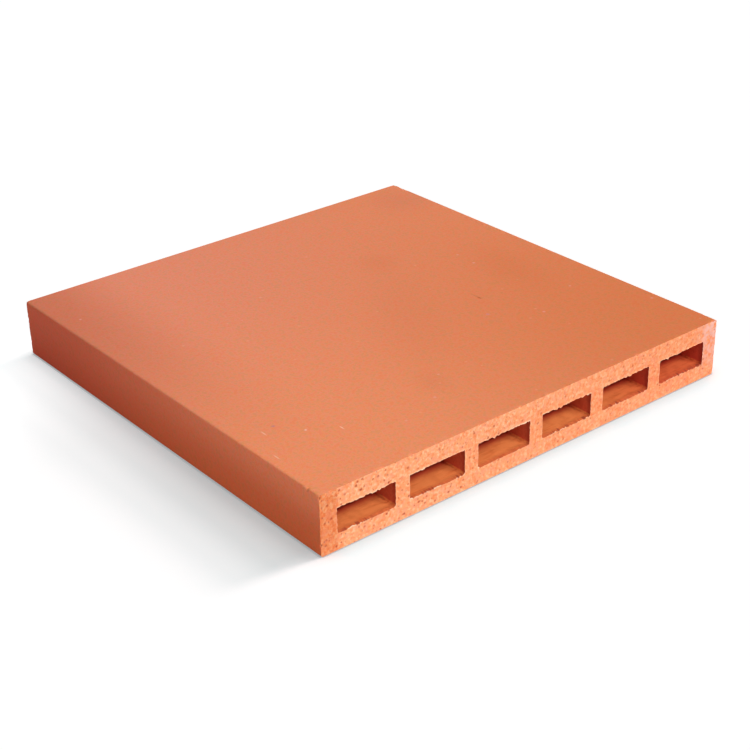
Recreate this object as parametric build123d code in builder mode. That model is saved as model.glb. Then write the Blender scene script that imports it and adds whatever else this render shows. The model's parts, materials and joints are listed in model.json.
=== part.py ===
"""Perforated clay tile: a square slab of fired clay, 305 mm wide, with a row of open cells through it.

The whole tile is one piece. Clay is pressed through a die, which leaves the smooth top, bed and
sides, the softened long arrises and the row of rectangular cells, and a wire then cuts the column
to length, which leaves the two plain ends with the mouths of the cells. The section is therefore
the same all the way along.

Millimetres, with +Z up. The origin is the middle of the bed face, on the floor. +X runs across the
row of cells, and +Y runs along them, from the front cut end to the back one.
"""

import os

from build123d import *

# The row of cells, as the cores of the die leave it
cell_count = 6
cell_width = 39.0
cell_height = 15.0
cell_corner_radius = 0.8

# The clay round the cells
web_thickness = 9.8
side_wall = 11.0
top_wall = 11.5
bed_wall = 10.5

# The long arrises, softened by the corners of the die
arris_radius = 1.2

# The distance between the two wire cuts
cut_length = 305.0

# The outside of the tile follows from its walls and cells
cell_pitch = cell_width + web_thickness
tile_width = cell_count * cell_pitch - web_thickness + 2 * side_wall
tile_thickness = bed_wall + cell_height + top_wall
cell_middle_height = bed_wall + cell_height / 2

with BuildPart() as clay_tile:
    # The column of clay, as it leaves the die and is cut
    with BuildSketch(Plane.XZ) as column_section:
        with Locations((0, tile_thickness / 2)):
            Rectangle(tile_width, tile_thickness)
    extrude(amount=cut_length / 2, both=True)
    fillet(clay_tile.edges().filter_by(Axis.Y), radius=arris_radius)

    # The cells, open at both cut ends
    with BuildSketch(Plane.XZ) as cell_section:
        with Locations((0, cell_middle_height)):
            with GridLocations(cell_pitch, 0, cell_count, 1):
                RectangleRounded(cell_width, cell_height, cell_corner_radius)
    extrude(amount=cut_length / 2, both=True, mode=Mode.SUBTRACT)

clay_tile.part.label = "clay_tile"

os.makedirs("parts", exist_ok=True)
export_step(clay_tile.part, "parts/clay_tile.step")

print(f"tile {tile_width:.1f} x {cut_length:.1f} x {tile_thickness:.1f} mm")
print(f"clay {clay_tile.part.volume / 1e6:.3f} litres")
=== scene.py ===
"""Looks of the perforated clay tile: a slab of fired clay with a row of open cells, on a white floor.

The CAD frame gives the tile's box and its six cells. The tile is modelled here once more as a fine mesh
that carries what its making leaves on it: the die softens the long arrises and the corners of the cells,
and the cutting wire leaves both ends grainy, pitted and torn where it crosses the mouths of the cells.

Metres in the CAD frame: +Z up, +X across the row of cells, +Y along them. The origin is the middle of the
bed face, on the floor, and the front cut end is the one at -Y. The finishes give their places and sizes in
millimetres, because a pattern is easier to judge so.
"""

import json
import logging
import math
from collections.abc import Iterable
from dataclasses import dataclass, field
from enum import Enum

import bmesh
import bpy
from mathutils import Matrix, Vector, noise


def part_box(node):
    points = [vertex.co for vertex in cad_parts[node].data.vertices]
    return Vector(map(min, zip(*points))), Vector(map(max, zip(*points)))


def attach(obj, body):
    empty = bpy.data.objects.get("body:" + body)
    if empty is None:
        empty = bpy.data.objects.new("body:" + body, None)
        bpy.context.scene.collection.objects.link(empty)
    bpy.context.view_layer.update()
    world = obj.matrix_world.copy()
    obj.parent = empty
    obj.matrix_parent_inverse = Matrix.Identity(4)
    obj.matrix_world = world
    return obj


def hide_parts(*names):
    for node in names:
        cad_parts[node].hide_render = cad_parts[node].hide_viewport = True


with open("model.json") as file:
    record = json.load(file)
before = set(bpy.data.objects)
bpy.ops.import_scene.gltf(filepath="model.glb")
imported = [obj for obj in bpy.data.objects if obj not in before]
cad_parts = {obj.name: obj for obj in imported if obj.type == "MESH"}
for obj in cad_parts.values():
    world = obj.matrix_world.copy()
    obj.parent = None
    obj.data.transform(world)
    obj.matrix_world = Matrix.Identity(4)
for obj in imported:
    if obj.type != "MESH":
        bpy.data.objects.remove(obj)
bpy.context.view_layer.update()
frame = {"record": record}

log = logging.getLogger("clay_tile")

MM = 0.001
TINY = 1e-6
NODE = "clay_tile"
BODY = "root"

# The square tile, as the CAD source has it
HALF_SIDE_MM = 152.5
THICKNESS_MM = 37.0
BED_WALL_MM = 10.5

# A face looks along an axis when this much of its normal does
FACING = 0.5

# The sRGB curve: a straight start, then a power
SRGB_START = 0.04045
SRGB_SLOPE = 12.92
SRGB_OFFSET = 0.055
SRGB_POWER = 2.4

# A Mix node's sockets for colour, which share their names with its other sockets
COLOUR_UNDER = 6
COLOUR_OVER = 7
COLOUR_MIXED = 2


class Zone(Enum):
    """The finish that a face of the tile takes. The values are the places in the mesh's list of materials."""

    SKIN = 0
    CUT = 1
    CELL = 2


class Mark(Enum):
    """What the wire leaves on a cut end, kept as point attributes that the finishes read."""

    # Where a highlight is painted on the burrs
    BURR = "burr"
    # Where shade is painted in the pits
    PIT = "pit"
    # Where broken clay shows: painted shade on the cut ends and in the cells, fresh clay on the skin
    CHIP = "chip"


class Coat(Enum):
    """How a layer of colour lies on the clay: over it, or as a tint of what is there."""

    COVER = "MIX"
    TINT = "MULTIPLY"


class Draw(Enum):
    """The layers of noise, one for each kind of wear, so that no two kinds are drawn alike."""

    COARSE_GRAIN = 1.3
    BURR = 2.0
    FINE_GRAIN = 7.9
    CRUMB = 31.0
    NOTCH_SHADE = 42.0
    JAMB = 50.0
    CURL = 61.0
    CHIP = 70.0
    NICK = 90.0


@dataclass(frozen=True)
class Tone:
    """A layer of colour: its hex digits, how much of it shows where it is full, and how it lies."""

    colour: str
    amount: float = 1.0
    coat: Coat = Coat.COVER


@dataclass(frozen=True)
class Band:
    """A stretch along an axis over which a layer comes in, in millimetres.

    A mirrored one measures both sides of the middle alike.
    """

    axis: str
    start: float
    full: float
    mirrored: bool = False


@dataclass(frozen=True)
class Mottle:
    """Soft irregular patches: their width in millimetres, and the values of the noise where they come in.

    The noise lies round 0.5. Detail is how many finer layers it has, and stretch is how many times longer
    the patches are along each axis.
    """

    size: float
    start: float
    full: float
    detail: float = 3.0
    stretch: tuple = (1, 1, 1)


@dataclass(frozen=True)
class Grit:
    """Scattered round grains, in millimetres.

    Their mean distance through the clay, the radius of the largest ones where the surface cuts them, and
    the share of them that shows at all.
    """

    spacing: float
    radius: float
    chance: float


@dataclass(frozen=True)
class Trace:
    """A mark of the wire, and the two strengths of it between which a layer comes in."""

    mark: Mark
    start: float
    full: float


@dataclass(frozen=True)
class Bumps:
    """A fine relief, in millimetres: the width of a bump, the height of the tallest, and their stretch."""

    size: float
    height: float
    stretch: tuple = (1, 1, 1)


@dataclass(frozen=True)
class Spot:
    """An oval on the top face and the colour on it, in millimetres and degrees.

    Its length is turned from +Y towards +X. Its edge is the share of it that fades, up to 1 for all.
    """

    centre: tuple[float, float]
    halves: tuple[float, float]
    tone: Tone
    turn: float = 0.0
    edge: float = 0.8


def linear(hex_colour: str) -> tuple[float, float, float, float]:
    """Turns an sRGB colour into the linear values that a shader wants.

    Args:
        hex_colour: The colour as six hex digits, such as "E18764".

    Returns:
        Red, green, blue and an alpha of 1.
    """
    channels = []
    for place in (0, 2, 4):
        value = int(hex_colour[place:place + 2], 16) / 255
        curved = ((value + SRGB_OFFSET) / (1 + SRGB_OFFSET)) ** SRGB_POWER
        channels.append(value / SRGB_SLOPE if value <= SRGB_START else curved)
    return (*channels, 1.0)


def per_metre(size_mm: float) -> float:
    """Gives the texture scale at which one feature of a pattern is this many millimetres wide."""
    return 1 / (size_mm * MM)


def ramp(start: float, full: float) -> dict[str, float]:
    """Lists the inputs of a map range that goes from 0 to 1, whichever of its ends is the greater.

    Args:
        start: The value at which the result is 0.
        full: The value at which the result is 1.

    Returns:
        The four limits of the map range, by name.
    """
    down = start > full
    limits = {"From Min": min(start, full), "From Max": max(start, full)}
    return {**limits, "To Min": float(down), "To Max": float(not down)}


def smooth(low: float, high: float, value: float) -> float:
    """Eases from 0 at low to 1 at high.

    Args:
        low: Where the result is 0.
        high: Where the result is 1.
        value: The measure to ease.

    Returns:
        A number from 0 to 1.
    """
    share = min(max((value - low) / (high - low), 0.0), 1.0)
    return share * share * (3 - 2 * share)


def near(reach: float, away: float) -> float:
    """Fades from 1 at no distance to 0 at this reach."""
    return 1 - smooth(0, reach, away)


def at_least(least: float, share: float) -> float:
    """Squeezes a share into the stretch from this least one to 1."""
    return least + (1 - least) * share


def add(tree: bpy.types.NodeTree, kind: str, inputs: dict | None = None, **settings) -> bpy.types.Node:
    """Adds a node with its settings, values and links.

    Args:
        tree: The node tree that gets the node.
        kind: The node's type name.
        inputs: Values or output sockets by input name or number.
        **settings: Properties of the node itself.

    Returns:
        The new node.
    """
    node = tree.nodes.new(kind)
    for name, value in settings.items():
        setattr(node, name, value)
    for key, value in (inputs or {}).items():
        if isinstance(value, bpy.types.NodeSocket):
            tree.links.new(value, node.inputs[key])
        else:
            node.inputs[key].default_value = value
    return node


class Recipe:
    """A clay finish in the making: a colour that gets layer after layer, and the relief under it.

    A share says where a layer shows, from 0 for nowhere to 1 for fully.
    """

    # A grain shows fully within this share of its radius
    grain_core: float = 0.3
    chance_edge: float = 0.01
    bump_noise: tuple = (0.2, 0.8)
    # Fired clay bends light as most minerals do, and its open pores swallow half of the shine
    clay_ior: float = 1.5
    clay_specular: float = 0.25

    def __init__(self, name: str, body: str) -> None:
        """Starts a material with the plain colour of its clay.

        Args:
            name: The material's name.
            body: The colour as hex digits.
        """
        self.material = bpy.data.materials.new(name)
        self.material.use_nodes = True
        self.tree = self.material.node_tree
        self.tree.nodes.clear()
        self.place = add(self.tree, "ShaderNodeTexCoord").outputs["Object"]
        self.colour = linear(body)
        self.normal = None

    def graded(self, band: Band) -> bpy.types.NodeSocket:
        """Gives a share that eases along an axis.

        Args:
            band: The axis and the stretch of it.

        Returns:
            The share.
        """
        place = add(self.tree, "ShaderNodeSeparateXYZ", {0: self.place}).outputs[band.axis]
        if band.mirrored:
            place = add(self.tree, "ShaderNodeMath", {0: place}, operation="ABSOLUTE").outputs[0]
        limits = {"Value": place, **ramp(band.start * MM, band.full * MM)}
        return add(self.tree, "ShaderNodeMapRange", limits, interpolation_type="SMOOTHSTEP").outputs[0]

    def patches(self, mottle: Mottle) -> bpy.types.NodeSocket:
        """Gives a share of soft irregular patches.

        Args:
            mottle: The patches.

        Returns:
            The share.
        """
        squeezed = [1 / times for times in mottle.stretch]
        drawn = add(self.tree, "ShaderNodeMapping", {"Vector": self.place, "Scale": squeezed})
        pattern = {"Vector": drawn.outputs[0], "Scale": per_metre(mottle.size), "Detail": mottle.detail}
        value = add(self.tree, "ShaderNodeTexNoise", pattern).outputs["Fac"]
        limits = {"Value": value, **ramp(mottle.start, mottle.full)}
        return add(self.tree, "ShaderNodeMapRange", limits, interpolation_type="SMOOTHSTEP").outputs[0]

    def grains(self, grit: Grit) -> bpy.types.NodeSocket:
        """Gives a share of scattered round grains.

        Args:
            grit: The grains.

        Returns:
            The share.
        """
        pattern = {"Vector": self.place, "Scale": per_metre(grit.spacing)}
        cells = add(self.tree, "ShaderNodeTexVoronoi", pattern).outputs
        limits = ramp(grit.radius / grit.spacing, self.grain_core * grit.radius / grit.spacing)
        edge = {"Value": cells["Distance"], **limits}
        grain = add(self.tree, "ShaderNodeMapRange", edge, interpolation_type="SMOOTHSTEP").outputs[0]
        luck = add(self.tree, "ShaderNodeSeparateColor", {0: cells["Color"]}).outputs[0]
        lucky = {"Value": luck, **ramp(grit.chance + self.chance_edge, grit.chance)}
        kept = add(self.tree, "ShaderNodeMapRange", lucky).outputs[0]
        return add(self.tree, "ShaderNodeMath", {0: grain, 1: kept}, operation="MULTIPLY").outputs[0]

    def oval(self, spot: Spot) -> bpy.types.NodeSocket:
        """Gives a share that is 1 in the middle of an oval on the top face and 0 outside it.

        Args:
            spot: The oval.

        Returns:
            The share.
        """
        top = THICKNESS_MM * MM
        inside = {
            "Vector": self.place,
            "Location": (spot.centre[0] * MM, spot.centre[1] * MM, top),
            "Rotation": (0, 0, math.radians(-spot.turn)),
            "Scale": (spot.halves[0] * MM, spot.halves[1] * MM, top / 2),
        }
        fitted = add(self.tree, "ShaderNodeMapping", inside, vector_type="TEXTURE").outputs[0]
        dome = add(self.tree, "ShaderNodeTexGradient", {0: fitted}, gradient_type="SPHERICAL").outputs["Fac"]
        limits = {"Value": dome, **ramp(0.0, spot.edge)}
        return add(self.tree, "ShaderNodeMapRange", limits, interpolation_type="SMOOTHSTEP").outputs[0]

    def traced(self, trace: Trace) -> bpy.types.NodeSocket:
        """Gives the share of a mark that the wire left on the mesh.

        Args:
            trace: The mark and its two strengths.

        Returns:
            The share.
        """
        value = add(self.tree, "ShaderNodeAttribute", attribute_name=trace.mark.value).outputs["Fac"]
        limits = {"Value": value, **ramp(trace.start, trace.full)}
        return add(self.tree, "ShaderNodeMapRange", limits).outputs[0]

    def lay(self, tone: Tone, *shares: bpy.types.NodeSocket) -> None:
        """Lays a colour on the clay.

        Args:
            tone: The colour, with its amount where every share is 1.
            *shares: Where it shows.
        """
        amount = tone.amount
        for share in shares:
            amount = add(self.tree, "ShaderNodeMath", {0: amount, 1: share}, operation="MULTIPLY").outputs[0]
        layer = {"Factor": amount, COLOUR_UNDER: self.colour, COLOUR_OVER: linear(tone.colour)}
        settings = {"data_type": "RGBA", "blend_type": tone.coat.value}
        self.colour = add(self.tree, "ShaderNodeMix", layer, **settings).outputs[COLOUR_MIXED]

    def roughen(self, bumps: Bumps) -> None:
        """Gives the surface a fine relief on top of the one it has.

        Args:
            bumps: The relief.
        """
        pattern = Mottle(bumps.size, *self.bump_noise, stretch=bumps.stretch)
        relief = {"Height": self.patches(pattern), "Distance": bumps.height * MM}
        if self.normal is not None:
            relief["Normal"] = self.normal
        self.normal = add(self.tree, "ShaderNodeBump", relief).outputs[0]

    def finish(self, roughness: float) -> bpy.types.Material:
        """Closes the recipe with a matt, open ceramic surface.

        Args:
            roughness: How matt the surface is.

        Returns:
            The finished material.
        """
        surface = {
            "Base Color": self.colour,
            "Normal": self.normal,
            "Roughness": roughness,
            "IOR": self.clay_ior,
            "Specular IOR Level": self.clay_specular,
        }
        shader = add(self.tree, "ShaderNodeBsdfPrincipled", surface)
        add(self.tree, "ShaderNodeOutputMaterial", {"Surface": shader.outputs[0]})
        return self.material


@dataclass(frozen=True)
class DiePressedSkin:
    """Terracotta as it leaves the die: dense, smooth and matt, with grain too fine to feel.

    The slip that the die presses to the surface fires to an even orange. Light and shade are painted
    over it: the top is pinker at the back, lighter at the front left, browner at the right and darker
    along its back left edge, and the two sides are redder than the top, lighter towards the front and
    darker towards the bed.
    """

    back: str = "CF7C65"
    # Painted light and shade on the top: lighter front left, browner right, darker back left edge
    front_left: Tone = Tone("D8815C")
    right: Tone = Tone("D07956")
    front_right: Tone = Tone("C76D42")
    left_back_shade: Tone = Tone("B66249", 0.8)
    # Painted light and shade on the sides: redder, lighter towards the front, darker towards the bed
    side: Tone = Tone("CA583E")
    side_front: Tone = Tone("ED825E")
    side_low: Tone = Tone("B64327", 0.8)
    side_low_front: Tone = Tone("E16C3E", 0.8)
    warm: Tone = Tone("FFF2EE", coat=Coat.TINT)
    cool: Tone = Tone("F2FFF8", coat=Coat.TINT)
    bluish: Tone = Tone("FFFFE6", coat=Coat.TINT)
    pale: Tone = Tone("E8B49C", 0.13)
    ash: Tone = Tone("D39A92", 0.45)
    scorch: Tone = Tone("B0603C", 0.35)
    broken: Tone = Tone("EA8756", 0.85)

    to_front: Band = Band("Y", HALF_SIDE_MM, -HALF_SIDE_MM)
    to_back: Band = Band("Y", -140, HALF_SIDE_MM)
    to_right: Band = Band("X", -110, 170)
    to_left: Band = Band("X", -85, -150)
    to_bed: Band = Band("Z", THICKNESS_MM, 0)
    on_top: Band = Band("Z", THICKNESS_MM - 1.0, THICKNESS_MM - 0.1)
    on_sides: Band = Band("X", HALF_SIDE_MM - 0.35, HALF_SIDE_MM - 0.03, mirrored=True)
    chips: Trace = Trace(Mark.CHIP, 0.1, 0.8)

    # Grain of about 2 mm, two to three pixels of the picture. The real one is finer and wouldn't show.
    warm_grain: Mottle = Mottle(2.1, 0.48, 0.66)
    cool_grain: Mottle = Mottle(2.1, 0.52, 0.34)
    bluish_grain: Mottle = Mottle(1.7, 0.4, 0.62, stretch=(1, 1.2, 1))
    pale_specks: Grit = Grit(16.0, 1.4, 0.5)
    ash_specks: Grit = Grit(24.0, 1.4, 0.5)
    scorched_specks: Grit = Grit(11.0, 0.9, 0.6)
    pores: Bumps = Bumps(0.8, 0.05)
    die_lines: Bumps = Bumps(2.4, 0.04, (1, 6, 1))
    roughness: float = 0.78

    stains: tuple = (
        Spot((13, -26), (38, 100), Tone("F3EEEA", 0.3, Coat.TINT), turn=28, edge=1.0),
        Spot((-30, -98), (15, 22), Tone("EEECEA", 0.35, Coat.TINT), turn=10, edge=1.0),
        Spot((52, 50), (20, 22), Tone("F6F0E6", 0.5, Coat.TINT), turn=20, edge=1.0),
        Spot((112, -12), (28, 60), Tone("FAF2E8", 0.6, Coat.TINT), turn=8, edge=1.0),
        Spot((135, 125), (34, 34), Tone("F4F4FF", 0.7, Coat.TINT), edge=1.0),
    )
    scrapes: tuple = (
        Spot((65.8, -30.5), (0.75, 7.5), Tone("B4633C", 0.55)),
        Spot((65.8, -33.8), (1.0, 2.6), Tone("A34C28", 0.8)),
        Spot((-136.4, -82.8), (0.65, 3.9), Tone("F0D0BA", 0.3)),
        Spot((-145.8, -107.4), (0.65, 3.9), Tone("F0D0BA", 0.3)),
        Spot((-100.9, -105.4), (0.6, 3.0), Tone("F4DCCB", 0.36)),
        Spot((-117.2, -94.7), (1.1, 1.1), Tone("E6C8BE", 0.5)),
        Spot((-128.0, -79.9), (1.7, 1.6), Tone("A46C78", 0.6)),
        Spot((53.5, -54.7), (1.9, 1.9), Tone("B87C84", 0.5)),
    )

    def top_tones(self, clay: Recipe) -> None:
        """Lays the slow changes of colour over the top.

        Args:
            clay: The recipe, which gets the layers.
        """
        # Painted light towards the front left, and painted shade to the right and along the back left edge
        front = clay.graded(self.to_front)
        to_right = clay.graded(self.to_right)
        clay.lay(self.front_left, front)
        clay.lay(self.right, to_right)
        clay.lay(self.front_right, to_right, front)
        clay.lay(self.left_back_shade, clay.graded(self.to_left), clay.graded(self.to_back))
        for stain in self.stains:
            clay.lay(stain.tone, clay.oval(stain))

    def side_tones(self, clay: Recipe) -> None:
        """Lays the redder colour of the two sides.

        Args:
            clay: The recipe, which gets the layers.
        """
        # Painted light and shade: the sides redder, lighter towards the front and darker towards the bed
        beside = clay.graded(self.on_sides)
        front = clay.graded(self.to_front)
        low = clay.graded(self.to_bed)
        clay.lay(self.side, beside)
        clay.lay(self.side_front, beside, front)
        clay.lay(self.side_low, beside, low)
        clay.lay(self.side_low_front, beside, low, front)

    def material(self) -> bpy.types.Material:
        """Mixes the material.

        Returns:
            The material.
        """
        clay = Recipe("terracotta_die_pressed", self.back)
        self.top_tones(clay)
        self.side_tones(clay)
        clay.lay(self.warm, clay.patches(self.warm_grain))
        clay.lay(self.cool, clay.patches(self.cool_grain))
        clay.lay(self.bluish, clay.patches(self.bluish_grain))
        on_top = clay.graded(self.on_top)
        clay.lay(self.pale, clay.grains(self.pale_specks), on_top)
        clay.lay(self.ash, clay.grains(self.ash_specks), on_top)
        clay.lay(self.scorch, clay.grains(self.scorched_specks), on_top)
        for scrape in self.scrapes:
            clay.lay(scrape.tone, clay.oval(scrape))
        clay.lay(self.broken, clay.traced(self.chips))
        clay.roughen(self.pores)
        clay.roughen(self.die_lines)
        return clay.finish(self.roughness)


@dataclass(frozen=True)
class WireCutClay:
    """Terracotta where the wire cut it: open, granular and lighter than the skin.

    The wire leaves the coarse grains standing, drags some of them out and lifts a thin burr round the
    mouths of the cells. A highlight is painted on the burrs, and shade in the pits and in the chips and
    notches broken out of the edges.
    """

    body: str = "FEA873"
    pale: Tone = Tone("FFC79E", 0.75)
    deep: Tone = Tone("F4824A", 0.62)
    rosy: Tone = Tone("FAA280", 0.6)
    bloom: Tone = Tone("F8C6BC", 0.9)
    dragged: Tone = Tone("FFF6F1", coat=Coat.TINT)
    browned: Tone = Tone("F8E0D4", 0.6, Coat.TINT)
    left_end: Tone = Tone("E6C5A5", 0.7, Coat.TINT)
    grey_grit: Tone = Tone("AC5A52", 0.6)
    grit: Tone = Tone("C64C2C", 0.6)
    left_grit: Tone = Tone("C64C2C", 0.8)
    # Painted shade in the pits
    pit: Tone = Tone("B43E24", 0.9)
    # Painted shade in the chips on the arrises and in the notches broken out of the sills
    broken: Tone = Tone("96381E", 0.8)
    # A painted highlight on the burrs and jambs
    burr: Tone = Tone("FFF0CE", 0.95)

    to_right: Band = Band("X", -HALF_SIDE_MM, HALF_SIDE_MM)
    to_left: Band = Band("X", HALF_SIDE_MM, -HALF_SIDE_MM)
    left_wall: Band = Band("X", -138, -144)
    right_wall: Band = Band("X", HALF_SIDE_MM - 20, HALF_SIDE_MM - 6)
    upwards: Band = Band("Z", 0, 22)
    over_bed_wall: Band = Band("Z", 8, 13)
    under_top_wall: Band = Band("Z", 30, 24)
    # Where the pits, chips and burrs are: painted shade in the first two, a painted highlight on the burrs
    pits: Trace = Trace(Mark.PIT, 0.0, 0.8)
    chips: Trace = Trace(Mark.CHIP, 0.1, 1.0)
    burrs: Trace = Trace(Mark.BURR, 0.0, 1.0)

    pale_grain: Mottle = Mottle(2.0, 0.47, 0.6)
    deep_grain: Mottle = Mottle(1.7, 0.52, 0.37)
    rosy_grain: Mottle = Mottle(2.8, 0.5, 0.64)
    blown: Mottle = Mottle(4.0, 0.36, 0.56)
    grey_grains: Grit = Grit(3.6, 0.75, 0.5)
    red_grains: Grit = Grit(4.3, 1.1, 0.4)
    left_grains: Grit = Grit(4.1, 0.85, 0.5)
    open_grain: Bumps = Bumps(0.9, 0.1)
    roughness: float = 0.88

    def material(self) -> bpy.types.Material:
        """Mixes the material.

        Returns:
            The material.
        """
        clay = Recipe("terracotta_wire_cut", self.body)
        clay.lay(self.pale, clay.patches(self.pale_grain))
        clay.lay(self.deep, clay.patches(self.deep_grain))
        clay.lay(self.rosy, clay.patches(self.rosy_grain))
        blown = clay.patches(self.blown)
        clay.lay(self.bloom, clay.graded(self.right_wall), blown, clay.graded(self.upwards))
        clay.lay(self.dragged, clay.graded(self.over_bed_wall), clay.graded(self.under_top_wall))
        clay.lay(self.browned, clay.graded(self.to_right))
        clay.lay(self.left_end, clay.graded(self.left_wall))
        to_left = clay.graded(self.to_left)
        clay.lay(self.grey_grit, clay.grains(self.grey_grains), to_left)
        clay.lay(self.grit, clay.grains(self.red_grains))
        clay.lay(self.left_grit, clay.grains(self.left_grains), to_left)
        # Painted shade in the pits
        clay.lay(self.pit, clay.traced(self.pits))
        # Painted shade in the chips and broken notches
        clay.lay(self.broken, clay.traced(self.chips))
        # A painted highlight on the burrs
        clay.lay(self.burr, clay.traced(self.burrs))
        clay.roughen(self.open_grain)
        return clay.finish(self.roughness)


@dataclass(frozen=True)
class CellWallClay:
    """Terracotta inside the cells: rubbed by the cores of the die, on which the clay drags in faint ripples.

    The air stands still in the cells while the tile is fired, so they come out a deeper orange than the
    outside. Shade is painted over that: the walls are redder and darker than the floor, the clay darkens
    further in and towards the right end, it is dark red past the reach of the light, and it is a little
    darker at the mouths and in the broken notches.
    """

    bed: str = "FB9250"
    # Painted shade on the walls, further in and past the reach of the light
    wall_shade: Tone = Tone("CC5533")
    inner: Tone = Tone("D0492D")
    dark: Tone = Tone("7C2016", 0.5)
    # Painted shade towards the right end
    shade_to_right: Tone = Tone("F6CBD4", coat=Coat.TINT)
    ripple: Tone = Tone("ECC8B0", 0.5, Coat.TINT)
    shaded: Tone = Tone("D8B0A0", 0.3, Coat.TINT)
    # Painted shade at the mouths and in the broken notches
    mouth_shade: Tone = Tone("CBAEA6", coat=Coat.TINT)
    notch_shade: Tone = Tone("8C3620", 0.85)

    above_bed: Band = Band("Z", BED_WALL_MM + 0.2, BED_WALL_MM + 1.4)
    further_in: Band = Band("Y", HALF_SIDE_MM - 10.3, HALF_SIDE_MM - 17.5, mirrored=True)
    past_light: Band = Band("Y", HALF_SIDE_MM - 16.2, HALF_SIDE_MM - 18.2, mirrored=True)
    at_mouth: Band = Band("Y", HALF_SIDE_MM - 5.0, HALF_SIDE_MM - 0.5, mirrored=True)
    to_right: Band = Band("X", 40, 115)
    chips: Trace = Trace(Mark.CHIP, 0.1, 0.6)

    ripples: Mottle = Mottle(1.6, 0.5, 0.7, stretch=(7, 1, 1))
    shades: Mottle = Mottle(6.0, 0.45, 0.7, detail=2.0)
    drag_lines: Bumps = Bumps(1.2, 0.06, (8, 1, 1))
    roughness: float = 0.8

    def material(self) -> bpy.types.Material:
        """Mixes the material.

        Returns:
            The material.
        """
        clay = Recipe("terracotta_cell_wall", self.bed)
        # Painted shade on the walls, further in and past the reach of the light
        clay.lay(self.wall_shade, clay.graded(self.above_bed))
        clay.lay(self.inner, clay.graded(self.further_in))
        clay.lay(self.dark, clay.graded(self.past_light))
        # Painted shade towards the right end
        clay.lay(self.shade_to_right, clay.graded(self.to_right))
        clay.lay(self.ripple, clay.patches(self.ripples))
        clay.lay(self.shaded, clay.patches(self.shades))
        # Painted shade at the mouths and in the broken notches
        clay.lay(self.mouth_shade, clay.graded(self.at_mouth))
        clay.lay(self.notch_shade, clay.traced(self.chips))
        clay.roughen(self.drag_lines)
        return clay.finish(self.roughness)


@dataclass(frozen=True)
class Span:
    """A stretch of the section between two lines, in metres."""

    low: float
    high: float

    def outside(self, value: float) -> float:
        """Gives how far a value lies outside the stretch, or 0 within it."""
        return max(self.low - value, value - self.high, 0.0)

    def nearer(self, value: float) -> float:
        """Gives how far inside the nearer line a value lies, less than 0 outside the stretch."""
        return min(value - self.low, self.high - value)

    def clamped(self, value: float, margin: float) -> float:
        """Moves a value into the stretch, and this margin or more inside its lines."""
        return min(max(value, self.low + margin), self.high - margin)


@dataclass(frozen=True)
class Cell:
    """The mouth of one cell, as two stretches of the section."""

    across: Span
    up: Span

    def holds(self, point: Vector) -> bool:
        """Tells whether a point of the section lies in the mouth or on its edge."""
        return self.across.outside(point.x) < TINY and self.up.outside(point.z) < TINY


@dataclass(frozen=True)
class ArrisWear:
    """How far the wire broke each outer arris of a cut end, from 0 for clean to 1 for ragged."""

    top: float
    bed: float
    left: float
    right: float


@dataclass(frozen=True)
class Arris:
    """One outer arris of a cut end, as seen from a point of the clay.

    The distance to it, the place along it, the way into the clay and how worn it is.
    """

    away: float
    along: float
    inward: Vector
    wear: float


@dataclass(frozen=True)
class Breakage:
    """How flakes come off an arris: small ones, and broad ones where their noise is over a threshold.

    The width of a broad flake, the width of a small one as a share of that, how deep each goes as a share
    of the full depth, the threshold, and the layers of noise between the two.
    """

    size: float
    small_share: float
    small_bite: float
    broad_bite: float
    threshold: float
    layers_apart: float


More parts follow.
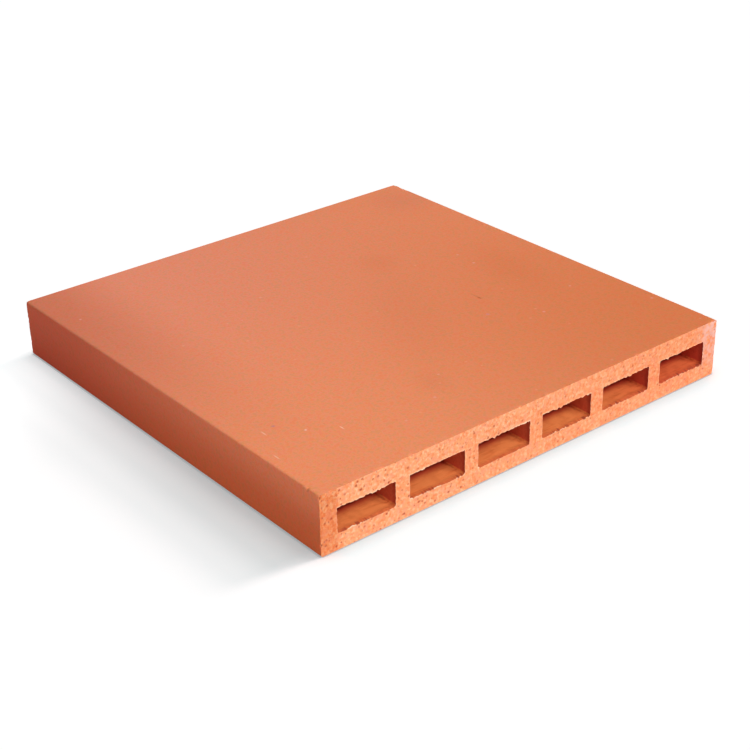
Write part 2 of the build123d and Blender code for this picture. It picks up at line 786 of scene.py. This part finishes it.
@dataclass(frozen=True)
class CutRelief:
    """What the cutting wire leaves on an end of the tile, as offsets of the mesh's points.

    The wire runs down through the soft clay. It hangs a ragged burr from the top edge of each mouth,
    breaks crumbs out of the bottom edge, and drags grains out of the face and off the outer arrises.
    """

    seed: float
    wear: ArrisWear

    # The open face
    face_depth: float = 0.26 * MM
    grain_size: float = 1.3 * MM
    grain_depth: float = 0.13 * MM
    coarse_times: float = 2.2
    coarse_share: float = 0.6
    pit_spacing: float = 3.4 * MM
    pit_radius: float = 1.1 * MM
    smallest_pit: float = 0.5
    pit_depth: float = 0.14 * MM
    pit_floor: float = 0.2
    pit_fade: float = 0.6
    pit_luck: tuple = (-0.3, 0.7)
    pit_scatter: float = 9.7
    calm_width: float = 1.8 * MM

    # The edges of the mouths
    tooth_size: float = 2.9 * MM
    crumb_size: float = 1.9 * MM
    sliver_share: float = 0.4
    lobe_height: float = 1.6
    sliver_height: float = 0.6
    calm_teeth: float = 0.3
    patch_size: float = 13.0 * MM
    patch_noise: tuple = (-0.25, 0.3)
    burr_drop: float = 1.5 * MM
    crumb_rise: float = 0.9 * MM
    edge_back: float = 0.35 * MM
    sill_back: float = 0.8 * MM
    side_tear: float = 0.3 * MM
    tear_size: float = 1.6 * MM
    lip_width: float = 0.85 * MM
    lip_push: float = 0.22 * MM
    burr_reach: float = 1.4 * MM
    burr_fade: float = 0.5
    shaken_reach: tuple = (0.7 * MM, 2.8 * MM)
    fade: float = 3.0 * MM
    corner_ease: tuple = (-0.9 * MM, 2.1 * MM)
    # How much painted highlight the lips, sills and jambs get, and how much painted shade the broken notches
    # get
    curl_drop: tuple = (0.08, 0.4)
    least_curl: float = 0.3
    calm_curl: float = 0.4
    sill_highlight: tuple = (0.3, 0.6)
    jamb_highlight: float = 0.12
    notch_shade_rise: tuple = (0.4, 0.15)
    calm_notch_shade: float = 0.25

    # The outer arrises
    chips: Breakage = Breakage(2.6 * MM, 0.45, 0.8, 2.2, 0.1, 20)
    chip_depth: float = 0.7 * MM
    chip_reach: float = 1.6 * MM
    chip_shown: tuple = (0.25, 0.8)
    nicks: Breakage = Breakage(2.4 * MM, 0.5, 0.5, 1.6, 0.05, 5)
    nick_depth: float = 1.0 * MM
    nick_reach: tuple = (0.72 * MM, 2.4 * MM)
    nick_length: float = 21.0 * MM
    nick_full: float = 7.35 * MM
    nick_shown: tuple = (0.15, 0.5)

    # Layers of noise between neighbours
    cell_layers: float = 17.0
    arris_layers: float = 6.0
    sliver_layers: float = 5.0
    patch_layers: float = 11.0

    def wave(self, first: float, second: float, size: float, layer: float) -> float:
        """Gives smooth noise from -1 to 1 at a place on the end, with features of the given size."""
        return noise.noise(Vector((first / size, second / size, self.seed + layer)))

    def grain(self, x: float, z: float) -> float:
        """Gives how far a place of the face lies behind or before its mean depth, but for its pits.

        Args:
            x: The place across the cells.
            z: The place up.

        Returns:
            The depth, more than 0 into the clay.
        """
        coarse = self.wave(x, z, self.coarse_times * self.grain_size, Draw.COARSE_GRAIN.value)
        fine = self.wave(x, z, self.grain_size, Draw.FINE_GRAIN.value)
        return self.grain_depth * (self.coarse_share * coarse + fine)

    def pit(self, x: float, z: float) -> float:
        """Gives how much of a pit there is at a place.

        Args:
            x: The place across the cells.
            z: The place up.

        Returns:
            A number from 0 outside a pit to 1 at the middle of a deep one.
        """
        place = Vector((x / self.pit_spacing, z / self.pit_spacing, self.seed))
        distances, middles = noise.voronoi(place)
        strength = smooth(*self.pit_luck, noise.cell(middles[0] * self.pit_scatter))
        radius = self.pit_radius * at_least(self.smallest_pit, strength)
        return strength * (1 - smooth(self.pit_floor * radius, radius, distances[0] * self.pit_spacing))

    def torn_patch(self, along: float, layer: float) -> float:
        """Gives how much a stretch of an edge is torn, from 0 to 1, changing slowly along it."""
        return smooth(*self.patch_noise, self.wave(along, layer, self.patch_size, layer))

    def teeth(self, along: float, size: float, layer: float) -> float:
        """Gives a ragged edge: round lobes with sharp notches between them.

        Args:
            along: The place along the edge.
            size: The width of a lobe.
            layer: The layer of noise to take.

        Returns:
            How far the edge stands out, from 0 to about 1.
        """
        lobes = abs(self.wave(along, layer, size, layer))
        slivers = abs(self.wave(along, layer, self.sliver_share * size, layer + self.sliver_layers))
        torn = at_least(self.calm_teeth, self.torn_patch(along, layer + self.patch_layers))
        return torn * (self.lobe_height * lobes + self.sliver_height * slivers)

    def bite(self, flakes: Breakage, along: float, across: float, layer: float) -> float:
        """Gives how deep an arris is broken at a place.

        Args:
            flakes: The kind of breakage.
            along: The place along the arris.
            across: The place across it.
            layer: The layer of noise to take.

        Returns:
            The depth, as a share of the full one.
        """
        small = max(self.wave(along, across, flakes.small_share * flakes.size, layer), 0)
        broad = self.wave(along, across, flakes.size, layer + flakes.layers_apart)
        return flakes.small_bite * small + flakes.broad_bite * max(broad - flakes.threshold, 0)


@dataclass
class ClayTile:
    """The fired tile: one mesh for the whole slab, fine at its cut ends and coarse along its length."""

    low: Vector
    high: Vector
    cells: list[Cell]
    name: str = "fired_tile"
    arris_radius: float = 1.2 * MM
    cell_radius: float = 0.8 * MM
    round_parts: int = 3
    coarse_step: float = 3.0 * MM
    coarse_least: float = 1.8 * MM
    end_rows: tuple = (0.5 * MM, 1.1 * MM, 1.9 * MM, 3.0 * MM, 4.4 * MM, 6.0 * MM)
    middle_step: float = 21.0 * MM
    nick_step: float = 1.0 * MM
    nick_lines: tuple = (1.7 * MM, 2.4 * MM)
    sharp_angle: float = 45.0
    fine_cuts: dict = field(default_factory=lambda: {-1: 5, 1: 3})
    reliefs: dict = field(default_factory=lambda: {
        -1: CutRelief(3.7, ArrisWear(top=0.55, bed=0.0, left=1.0, right=0.15)),
        1: CutRelief(41.2, ArrisWear(top=0.0, bed=0.0, left=0.3, right=0.3)),
    })

    @property
    def half_length(self) -> float:
        """Gives the distance from the middle of the tile to a cut end."""
        return (self.high.y - self.low.y) / 2

    @property
    def relief_reach(self) -> float:
        """Gives how far behind a cut end its relief reaches."""
        return self.end_rows[-2]

    def lines(self, marks: list[float]) -> list[float]:
        """Divides the stretches between marks into the lines of the lattice.

        Args:
            marks: The edges of the section and the ends of its rounds, in order.

        Returns:
            Every line inside the outermost marks.
        """
        widest_round = max(self.arris_radius, self.cell_radius) + TINY
        result = []
        for start, end in zip(marks, marks[1:]):
            is_round = end - start < widest_round
            parts = self.round_parts if is_round else round((end - start) / self.coarse_step)
            result += [start + (end - start) * part / parts for part in range(parts)]
        return result[1:]

    def marks(self, low: float, high: float, spans: list[Span]) -> list[float]:
        """Lists the edges and round ends along one axis of the section.

        Args:
            low: The one side of the tile.
            high: The other side.
            spans: The cells between them, in order.

        Returns:
            The marks, in order.
        """
        marks = [low, low + self.arris_radius]
        for span in spans:
            marks += [span.low, span.low + self.cell_radius, span.high - self.cell_radius, span.high]
        return marks + [high - self.arris_radius, high]

    def cut(
        self, bm: bmesh.types.BMesh, axis: tuple, places: Iterable[float], faces: list | None = None
    ) -> None:
        """Cuts the mesh across an axis.

        Args:
            bm: The mesh.
            axis: The way that the cuts face.
            places: Where the cuts are along the axis.
            faces: The faces to cut, or None for them all.
        """
        if faces is None:
            faces = bm.faces[:]
        edges = dict.fromkeys(edge for face in faces for edge in face.edges)
        verts = dict.fromkeys(vert for face in faces for vert in face.verts)
        geom = [*verts, *edges, *faces]
        facing = Vector(axis)
        for place in places:
            geom = bmesh.ops.bisect_plane(bm, geom=geom, plane_co=facing * place, plane_no=facing)["geom"]

    def slab(self) -> bmesh.types.BMesh:
        """Makes the slab with its square-cornered cells, as a coarse lattice of quads.

        Returns:
            The closed slab.
        """
        bm = bmesh.new()
        size = self.high - self.low
        middle = (self.low + self.high) / 2
        upright = Matrix.Rotation(math.radians(90), 4, "X")
        scale = Matrix.Diagonal((size.x, 1, size.z, 1))
        front = Matrix.Translation((middle.x, self.low.y, middle.z)) @ scale @ upright
        bmesh.ops.create_grid(bm, x_segments=1, y_segments=1, size=0.5, matrix=front)
        across = self.lines(self.marks(self.low.x, self.high.x, [cell.across for cell in self.cells]))
        up = self.lines(self.marks(self.low.z, self.high.z, [self.cells[0].up]))
        self.cut(bm, (1, 0, 0), across)
        self.cut(bm, (0, 0, 1), up)
        mouths = [face for face in bm.faces if self.is_in_cell(face)]
        bmesh.ops.delete(bm, geom=mouths, context="FACES")
        drawn = bmesh.ops.extrude_face_region(bm, geom=bm.faces[:])
        verts = [item for item in drawn["geom"] if isinstance(item, bmesh.types.BMVert)]
        bmesh.ops.translate(bm, verts=verts, vec=(0, size.y, 0))
        bmesh.ops.recalc_face_normals(bm, faces=bm.faces[:])
        return bm

    def is_in_cell(self, face: bmesh.types.BMFace) -> bool:
        """Tells whether the middle of a face lies in a cell or on its walls."""
        return any(cell.holds(face.calc_center_median()) for cell in self.cells)

    def add_rows(self, bm: bmesh.types.BMesh) -> None:
        """Cuts the slab across its length: closely near the ends and widely between them.

        Args:
            bm: The slab.
        """
        close = [self.half_length - row for row in self.end_rows]
        inner = close[-1]
        count = round(2 * inner / self.middle_step)
        wide = [inner * (2 * part / count - 1) for part in range(1, count)]
        self.cut(bm, (0, 1, 0), close + [-row for row in close] + wide)

    def beside_arris(self, bm: bmesh.types.BMesh, side: int, end: int) -> list[bmesh.types.BMFace]:
        """Lists the faces along the nicked stretch of a top arris.

        Args:
            bm: The slab.
            side: -1 for the left side, 1 for the right.
            end: -1 for the front cut end, 1 for the back.

        Returns:
            The faces, without those of the cut end.
        """
        wide = self.arris_radius + self.coarse_step + TINY
        edge = self.low.x if side < 0 else self.high.x
        inner = self.half_length - self.reliefs[end].nick_length - self.middle_step
        faces = []
        for face in bm.faces:
            middle = face.calc_center_median()
            is_beside = abs(middle.x - edge) < wide and self.high.z - middle.z < wide
            if is_beside and middle.y * end > inner and abs(face.normal.y) < FACING:
                faces.append(face)
        return faces

    def refine_nicks(self, bm: bmesh.types.BMesh) -> None:
        """Cuts the top arrises of the two sides more closely near the cut ends, where they are nicked.

        Args:
            bm: The slab.
        """
        for side in (-1, 1):
            edge = self.low.x if side < 0 else self.high.x
            across = [edge - side * line for line in self.nick_lines]
            up = [self.high.z - line for line in self.nick_lines]
            for end in (-1, 1):
                start = self.end_rows[-1]
                count = round((self.reliefs[end].nick_length - start) / self.nick_step)
                depths = [start + self.nick_step * part for part in range(1, count + 1)]
                along = [end * (self.half_length - depth) for depth in depths]
                self.cut(bm, (0, 1, 0), along, self.beside_arris(bm, side, end))
                self.cut(bm, (1, 0, 0), across, self.beside_arris(bm, side, end))
                self.cut(bm, (0, 0, 1), up, self.beside_arris(bm, side, end))

    def refine_ends(self, bm: bmesh.types.BMesh) -> None:
        """Divides the coarse columns again within reach of the cut ends.

        Args:
            bm: The slab.
        """
        inner = self.half_length - self.relief_reach - TINY
        for end, cuts in self.fine_cuts.items():
            edges = [
                edge for edge in bm.edges
                if edge.verts[0].co.y * end > inner
                and abs(edge.verts[0].co.y - edge.verts[1].co.y) < TINY
                and edge.calc_length() > self.coarse_least
            ]
            bmesh.ops.subdivide_edges(bm, edges=edges, cuts=cuts, use_grid_fill=True)

    def round_corner(self, point: Vector, across: float, up: float) -> None:
        """Draws a point in the square corner next to a round back onto the round's own rings.

        Args:
            point: The point, which is moved.
            across: The X of the round's middle.
            up: The Z of the round's middle.
        """
        side_x, side_z = point.x - across, point.z - up
        if abs(side_x) > TINY and abs(side_z) > TINY:
            shrink = max(abs(side_x), abs(side_z)) / math.hypot(side_x, side_z)
            point.x = across + side_x * shrink
            point.z = up + side_z * shrink

    def round_corners(self, bm: bmesh.types.BMesh) -> None:
        """Rounds the long arrises and the long corners of the cells.

        Args:
            bm: The slab.
        """
        outside = Cell(Span(self.low.x, self.high.x), Span(self.low.z, self.high.z))
        for vert in bm.verts:
            place = vert.co.copy()
            rounds = [(outside, self.arris_radius)]
            rounds += [(cell, self.cell_radius) for cell in self.cells if cell.holds(place)]
            for shape, radius in rounds:
                across = shape.across.clamped(place.x, radius)
                self.round_corner(vert.co, across, shape.up.clamped(place.z, radius))

    def arrises(self, wear: ArrisWear, place: Vector) -> list[Arris]:
        """Lists the four outer arrises of a cut end, as seen from a point.

        Args:
            wear: How worn each of them is.
            place: The point.

        Returns:
            The top, bed, left and right arris.
        """
        return [
            Arris(self.high.z - place.z, place.x, Vector((0, 0, -1)), wear.top),
            Arris(place.z - self.low.z, place.x, Vector((0, 0, 1)), wear.bed),
            Arris(place.x - self.low.x, place.z, Vector((1, 0, 0)), wear.left),
            Arris(self.high.x - place.x, place.z, Vector((-1, 0, 0)), wear.right),
        ]

    def tear(self, relief: CutRelief, place: Vector, depth: float) -> tuple[Vector, float, float]:
        """Works out how the wire moved one point near the mouths.

        Args:
            relief: The relief of this cut end.
            place: The point before it is moved.
            depth: How far behind the cut end it lies.

        Returns:
            The move, with -Y out of the clay, how much painted highlight shows on the burr there, and how
            much painted shade in the notches broken out of the sill.
        """
        move = Vector((0, 0, 0))
        burr = 0.0
        broken = 0.0
        behind = near(relief.burr_reach, depth)
        shaken = 1 - smooth(*relief.shaken_reach, depth)
        if shaken == 0:
            return move, burr, broken
        fuller = 1 - relief.burr_fade * smooth(self.low.x, self.high.x, place.x)
        for number, cell in enumerate(self.cells):
            beside = cell.across.outside(place.x)
            above = cell.up.outside(place.z)
            if beside > relief.fade or above > relief.fade:
                continue
            layer = relief.cell_layers * number
            middle = smooth(*relief.corner_ease, cell.across.nearer(place.x))
            from_top = abs(place.z - cell.up.high)
            from_bottom = abs(place.z - cell.up.low)

            # The top edge hangs down in teeth, and the bottom edge is crumbled back
            drop = relief.teeth(place.x, relief.tooth_size, layer + Draw.BURR.value) * fuller
            rise = relief.teeth(place.x, relief.crumb_size, layer + Draw.CRUMB.value)
            lowered = relief.burr_drop * drop - relief.edge_back
            raised = relief.crumb_rise * rise - relief.sill_back
            move.z -= lowered * near(relief.fade, from_top) * middle * behind
            move.z += raised * near(relief.fade, from_bottom) * middle * behind

            # The two upright edges are torn to and fro
            upright = near(relief.fade, above)
            jamb = 0.0
            for edge, way in ((cell.across.low, 1), (cell.across.high, -1)):
                from_side = abs(place.x - edge)
                tear = relief.wave(place.z, layer, relief.tear_size, layer + Draw.JAMB.value + way)
                move.x += way * relief.side_tear * tear * near(relief.fade, from_side) * upright * behind
                jamb = max(jamb, near(relief.lip_width, from_side) * (above < TINY))

            # Painted highlight on curled lips and jambs, and painted shade in notches broken out of sills
            lip = near(relief.lip_width, from_top) * (beside < TINY)
            sill = near(relief.lip_width, from_bottom) * (beside < TINY)
            move.y -= relief.lip_push * lip * middle * behind
            curl = at_least(relief.calm_curl, relief.torn_patch(place.x, layer + Draw.CURL.value))
            curled = at_least(relief.least_curl, smooth(*relief.curl_drop, drop)) * curl
            highlighted = max(lip * curled, sill * smooth(*relief.sill_highlight, rise)) * fuller
            burr = max(burr, highlighted, relief.jamb_highlight * jamb)
            loose = at_least(relief.calm_notch_shade, relief.torn_patch(place.x, layer + Draw.NOTCH_SHADE.value))
            broken = max(broken, sill * smooth(*relief.notch_shade_rise, rise) * loose * shaken)
        return move, burr, broken

    def chip(self, relief: CutRelief, place: Vector, depth: float) -> tuple[Vector, float]:
        """Works out how a point near the outer arrises of a cut end is broken back.

        Args:
            relief: The relief of this cut end.
            place: The point before it is moved.
            depth: How far behind the cut end it lies.

        Returns:
            The move, with +Y into the clay, and how much broken clay shows there, which the cut ends paint
            as shade.
        """
        move = Vector((0, 0, 0))
        shown = 0.0
        for number, arris in enumerate(self.arrises(relief.wear, place)):
            away = math.hypot(arris.away, depth)
            if away > relief.chip_reach or arris.wear == 0:
                continue
            layer = Draw.CHIP.value + relief.arris_layers * number
            bite = arris.wear * relief.bite(relief.chips, arris.along, depth, layer)
            bite *= near(relief.chip_reach, away)
            move += (arris.inward + Vector((0, 1, 0))) * bite * relief.chip_depth
            shown = max(shown, smooth(*relief.chip_shown, bite))
        return move, shown

    def nick(self, relief: CutRelief, place: Vector, depth: float) -> tuple[Vector, float]:
        """Works out how a point near the top arris of a side is nicked, close to a cut end.

        Args:
            relief: The relief of this cut end.
            place: The point before it is moved.
            depth: How far behind the cut end it lies.

        Returns:
            The move and how much broken clay shows there.
        """
        move = Vector((0, 0, 0))
        shown = 0.0
        below = self.high.z - place.z
        for side, wear in ((-1, relief.wear.left), (1, relief.wear.right)):
            beside = place.x - self.low.x if side < 0 else self.high.x - place.x
            away = math.hypot(beside, below)
            if away > relief.nick_reach[1] or depth > relief.nick_length:
                continue
            bite = wear * (1 - smooth(relief.nick_full, relief.nick_length, depth))
            bite *= relief.bite(relief.nicks, depth, side, Draw.NICK.value)
            bite *= 1 - smooth(*relief.nick_reach, away)
            move += Vector((-side, 0, -1)) * bite * relief.nick_depth
            shown = max(shown, smooth(*relief.nick_shown, bite))
        return move, shown

    def roughen(self, bm: bmesh.types.BMesh) -> None:
        """Gives both cut ends their relief, and keeps where the burrs, pits and chips are.

        Args:
            bm: The slab.
        """
        layers = {mark: bm.verts.layers.float.new(mark.value) for mark in Mark}
        for vert in bm.verts:
            end = 1 if vert.co.y > 0 else -1
            relief = self.reliefs[end]
            depth = self.half_length - abs(vert.co.y)
            if depth > relief.nick_length:
                continue
            place = vert.co.copy()
            nick, chipped = self.nick(relief, place, depth)
            if depth > self.relief_reach:
                vert.co = place + nick
                vert[layers[Mark.CHIP]] = chipped
                continue
            held = max(
                (1 - arris.wear) * near(relief.calm_width, arris.away)
                for arris in self.arrises(relief.wear, place)
            )
            loose = 1 - held
            pitted = loose * (1 - relief.pit_fade * smooth(self.low.x, self.high.x, place.x))
            pit = relief.pit(place.x, place.z) * pitted
            inward = relief.face_depth + relief.grain(place.x, place.z) * loose + relief.pit_depth * pit
            torn, burr, notch_shade_share = self.tear(relief, place, depth)
            broken, shown = self.chip(relief, place, depth)
            move = torn + broken
            move.y = max(inward + move.y, 0.0) * near(self.relief_reach, depth)
            vert.co = place + nick + Vector((move.x, -end * move.y, move.z))
            at_face = near(relief.lip_width, depth)
            # The burr mark carries a painted highlight, and the pit and chip marks carry painted shade
            vert[layers[Mark.BURR]] = burr * at_face
            vert[layers[Mark.PIT]] = pit * at_face
            vert[layers[Mark.CHIP]] = max(shown, chipped, notch_shade_share)

    def zone(self, face: bmesh.types.BMFace) -> Zone:
        """Tells which finish a face of the slab takes, by where it lies.

        Args:
            face: The face.

        Returns:
            The zone.
        """
        if abs(face.normal.y) > FACING:
            return Zone.CUT
        return Zone.CELL if self.is_in_cell(face) else Zone.SKIN

    def build(self) -> bpy.types.Object:
        """Builds the tile's mesh.

        Returns:
            The tile, with its place in its mesh and its faces sorted by finish.
        """
        bm = self.slab()
        for face in bm.faces:
            face.material_index = self.zone(face).value
            face.smooth = True
        self.add_rows(bm)
        self.refine_nicks(bm)
        self.refine_ends(bm)
        self.round_corners(bm)
        self.roughen(bm)
        mesh = bpy.data.meshes.new(self.name)
        bm.to_mesh(mesh)
        bm.free()
        mesh.set_sharp_from_angle(angle=math.radians(self.sharp_angle))
        tile = bpy.data.objects.new(self.name, mesh)
        bpy.context.scene.collection.objects.link(tile)
        return tile

    def dress(self, tile: bpy.types.Object) -> None:
        """Gives the tile its three finishes, in the order of the zones."""
        for finish in (DiePressedSkin(), WireCutClay(), CellWallClay()):
            tile.data.materials.append(finish.material())


@dataclass(frozen=True)
class Lamp:
    """A lamp so far off that its light is even over the whole tile.

    Its azimuth turns from +Y towards +X, and says where it stands. Its softness is the angle that it fills.
    """

    name: str
    azimuth: float
    elevation: float
    softness: float
    strength: float
    flagged: bool = False

    def light(self, floor: bpy.types.Object) -> None:
        """Hangs the lamp.

        Args:
            floor: The floor, which a flagged lamp leaves alone, as one with a flag hung below it would.
        """
        data = bpy.data.lights.new(self.name, "SUN")
        data.angle = math.radians(self.softness)
        data.energy = self.strength * math.pi
        lamp = bpy.data.objects.new(self.name, data)
        lamp.rotation_euler = (math.radians(90 - self.elevation), 0, math.radians(180 - self.azimuth))
        bpy.context.scene.collection.objects.link(lamp)
        if self.flagged:
            kept_dark = bpy.data.collections.new(self.name + "_flag")
            kept_dark.objects.link(floor)
            kept_dark.collection_objects[0].light_linking.link_state = "EXCLUDE"
            lamp.light_linking.receiver_collection = kept_dark


@dataclass(frozen=True)
class GlowStrip:
    """A soft-edged part of the floor whose white has a glow of its own, where all of its bands are full."""

    glow: tuple
    bands: tuple


@dataclass(frozen=True)
class FootLine:
    """A line of shade where the tile meets the floor: its width, and how dark it is at the foot."""

    width: float
    dark: float


@dataclass
class Studio:
    """The white floor, the soft light and the camera at the photograph's place."""

    camera_place: tuple = (-0.5485, -0.6925, 0.4600)
    camera_azimuth: float = 38.76
    camera_pitch: float = 27.94
    camera_roll: float = -1.22
    lens_mm: float = 75.70
    film_width_mm: float = 36.0
    farthest_seen: float = 100.0
    sky_strength: float = 0.2
    floor_size: float = 12.0
    floor_parts: int = 8
    floor_bounce: str = "DEDEDE"
    floor_white: tuple = (0.98, 0.804, 0.781, 1.0)
    floor_glow: tuple = (0.40, 0.51, 0.525, 1.0)

    # The shade beside the tile is palest at the back left corner and deepest towards the front left one
    back_strip: GlowStrip = GlowStrip(
        (0.59, 0.70, 0.715, 1.0),
        (Band("Y", 20, 150), Band("X", -125, -150), Band("Y", 190, 160)),
    )
    left_strip: GlowStrip = GlowStrip(
        (0.29, 0.42, 0.435, 1.0),
        (Band("X", -220, -168), Band("X", -150, -153), Band("Y", 60, -80), Band("Y", -152, -140)),
    )
    # The lit cut end throws orange light on the floor before it, so the glow there has less red
    front_strip: GlowStrip = GlowStrip(
        (0.11, 0.45, 0.50, 1.0),
        (
            Band("Y", -172.5, -156.5),
            Band("Y", 152.5, -152.5),
            Band("X", -153.5, -138.5),
            Band("X", 153.5, 138.5),
        ),
    )

    foot_lines: tuple = (FootLine(10 * MM, 0.36), FootLine(2.4 * MM, 1.0))
    foot_grey: tuple = (0.36, 0.372, 0.378, 1.0)
    foot_openness: float = 0.5
    foot_samples: int = 8
    lamps: tuple = (
        Lamp("front_lamp", 173, 39.5, 10, 0.42, flagged=True),
        Lamp("front_lamp_right", 148, 39.5, 14, 0.35, flagged=True),
        Lamp("side_lamp_high", 96, 72, 24, 0.17),
        Lamp("side_lamp_middle", 98, 50, 18, 0.18),
        Lamp("side_lamp_low", 98, 32, 14, 0.245),
        Lamp("fill_lamp", 250, 12, 50, 0.42, flagged=True),
    )

    def lay_floor(self) -> bpy.types.Object:
        """Lays the floor: pure white to the camera away from the shadow, and pale grey to the light.

        The camera's white is a little warm in what it reflects and a little cool in what it adds, so that
        the shadow stays grey beside the orange clay. It darkens in a narrow line along the tile's foot.

        Returns:
            The floor.
        """
        bm = bmesh.new()
        parts = self.floor_parts
        bmesh.ops.create_grid(bm, x_segments=parts, y_segments=parts, size=self.floor_size / 2)
        mesh = bpy.data.meshes.new("floor")
        bm.to_mesh(mesh)
        bm.free()
        floor = bpy.data.objects.new("floor", mesh)
        bpy.context.scene.collection.objects.link(floor)
        mesh.materials.append(self.floor_paint())
        return floor

    def glow_tint(self, paint: Recipe) -> bpy.types.NodeSocket:
        """Mixes the colour of the floor's glow.

        Args:
            paint: The floor's recipe, which gets the nodes.

        Returns:
            The colour.
        """
        tint = self.floor_glow
        for strip in (self.back_strip, self.left_strip, self.front_strip):
            share = 1.0
            for band in strip.bands:
                factors = {0: share, 1: paint.graded(band)}
                share = add(paint.tree, "ShaderNodeMath", factors, operation="MULTIPLY").outputs[0]
            layer = {"Factor": share, COLOUR_UNDER: tint, COLOUR_OVER: strip.glow}
            tint = add(paint.tree, "ShaderNodeMix", layer, data_type="RGBA").outputs[COLOUR_MIXED]
        return tint

    def foot_share(self, tree: bpy.types.NodeTree) -> bpy.types.NodeSocket:
        """Works out how much of the floor's white the shade at the tile's foot takes.

        Args:
            tree: The floor's node tree.

        Returns:
            The share.
        """
        foot = 0.0
        for line in self.foot_lines:
            reach = {"Distance": line.width}
            sky = add(tree, "ShaderNodeAmbientOcclusion", reach, samples=self.foot_samples).outputs["AO"]
            limits = {"Value": sky, "From Min": self.foot_openness, "To Min": line.dark, "To Max": 0.0}
            shade = add(tree, "ShaderNodeMapRange", limits).outputs[0]
            foot = add(tree, "ShaderNodeMath", {0: foot, 1: shade}, operation="MAXIMUM").outputs[0]
        return foot

    def floor_paint(self) -> bpy.types.Material:
        """Mixes the floor's white.

        Returns:
            The material.
        """
        paint = Recipe("floor_paint_white", self.floor_bounce)
        tree = paint.tree
        ray = add(tree, "ShaderNodeLightPath").outputs
        seen = ray["Is Camera Ray"]
        for other in (ray["Is Glossy Ray"], ray["Is Transmission Ray"]):
            seen = add(tree, "ShaderNodeMath", {0: seen, 1: other}, operation="MAXIMUM").outputs[0]
        white = add(tree, "ShaderNodeBsdfDiffuse", {"Color": self.floor_white})
        glow = add(tree, "ShaderNodeEmission", {"Color": self.glow_tint(paint)})
        lit = add(tree, "ShaderNodeAddShader", {0: white.outputs[0], 1: glow.outputs[0]})
        grey = add(tree, "ShaderNodeEmission", {"Color": self.foot_grey})
        layers = {0: self.foot_share(tree), 1: lit.outputs[0], 2: grey.outputs[0]}
        shown = add(tree, "ShaderNodeMixShader", layers)
        bounce = add(tree, "ShaderNodeBsdfDiffuse", {"Color": paint.colour})
        both = add(tree, "ShaderNodeMixShader", {0: seen, 1: bounce.outputs[0], 2: shown.outputs[0]})
        add(tree, "ShaderNodeOutputMaterial", {"Surface": both.outputs[0]})
        return paint.material

    def light_sky(self) -> None:
        """Surrounds the scene with plain light that the camera sees as white."""
        world = bpy.data.worlds.new("studio_sky")
        world.use_nodes = True
        tree = world.node_tree
        tree.nodes.clear()
        ray = add(tree, "ShaderNodeLightPath").outputs
        limits = {"Value": ray["Is Camera Ray"], "To Min": self.sky_strength}
        strength = add(tree, "ShaderNodeMapRange", limits).outputs[0]
        sky = add(tree, "ShaderNodeBackground", {"Color": (1, 1, 1, 1), "Strength": strength})
        add(tree, "ShaderNodeOutputWorld", {"Surface": sky.outputs[0]})
        bpy.context.scene.world = world

    def place_camera(self) -> None:
        """Stands the camera where the photograph was taken from."""
        data = bpy.data.cameras.new("camera")
        data.lens = self.lens_mm
        data.sensor_width = self.film_width_mm
        data.clip_end = self.farthest_seen
        camera = bpy.data.objects.new("camera", data)
        turn = Matrix.Rotation(math.radians(-self.camera_azimuth), 4, "Z")
        tilt = Matrix.Rotation(math.radians(90 - self.camera_pitch), 4, "X")
        roll = Matrix.Rotation(math.radians(self.camera_roll), 4, "Z")
        camera.matrix_world = Matrix.Translation(self.camera_place) @ turn @ tilt @ roll
        bpy.context.scene.collection.objects.link(camera)
        bpy.context.scene.camera = camera

    def set_up(self) -> None:
        """Sets up the whole studio."""
        self.place_camera()
        floor = self.lay_floor()
        self.light_sky()
        for lamp in self.lamps:
            lamp.light(floor)
        bpy.context.scene.view_settings.view_transform = "Standard"


def cells_from_record(clearance: float = 0.5 * MM) -> list[Cell]:
    """Reads the mouths of the cells from the record's openings, which lie a little inside the walls.

    Args:
        clearance: How far inside the cell's walls each opening lies.

    Returns:
        The cells, from the left side to the right.
    """
    cells = []
    for opening in frame["record"]["physics"]["openings"]:
        low, high = opening["box_m"]
        across = Span(low[0] - clearance, high[0] + clearance)
        cells.append(Cell(across, Span(low[2] - clearance, high[2] + clearance)))
    return cells


def main() -> None:
    """Builds the studio and the tile."""
    logging.basicConfig(level=logging.INFO, format="%(message)s")
    Studio().set_up()
    low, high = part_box(NODE)
    maker = ClayTile(low, high, cells_from_record())
    tile = maker.build()
    maker.dress(tile)
    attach(tile, BODY)
    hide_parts(NODE)
    tile.data.calc_loop_triangles()
    log.info("%s: %d points, %d triangles", tile.name, len(tile.data.vertices), len(tile.data.loop_triangles))


if __name__ == "__main__":
    main()
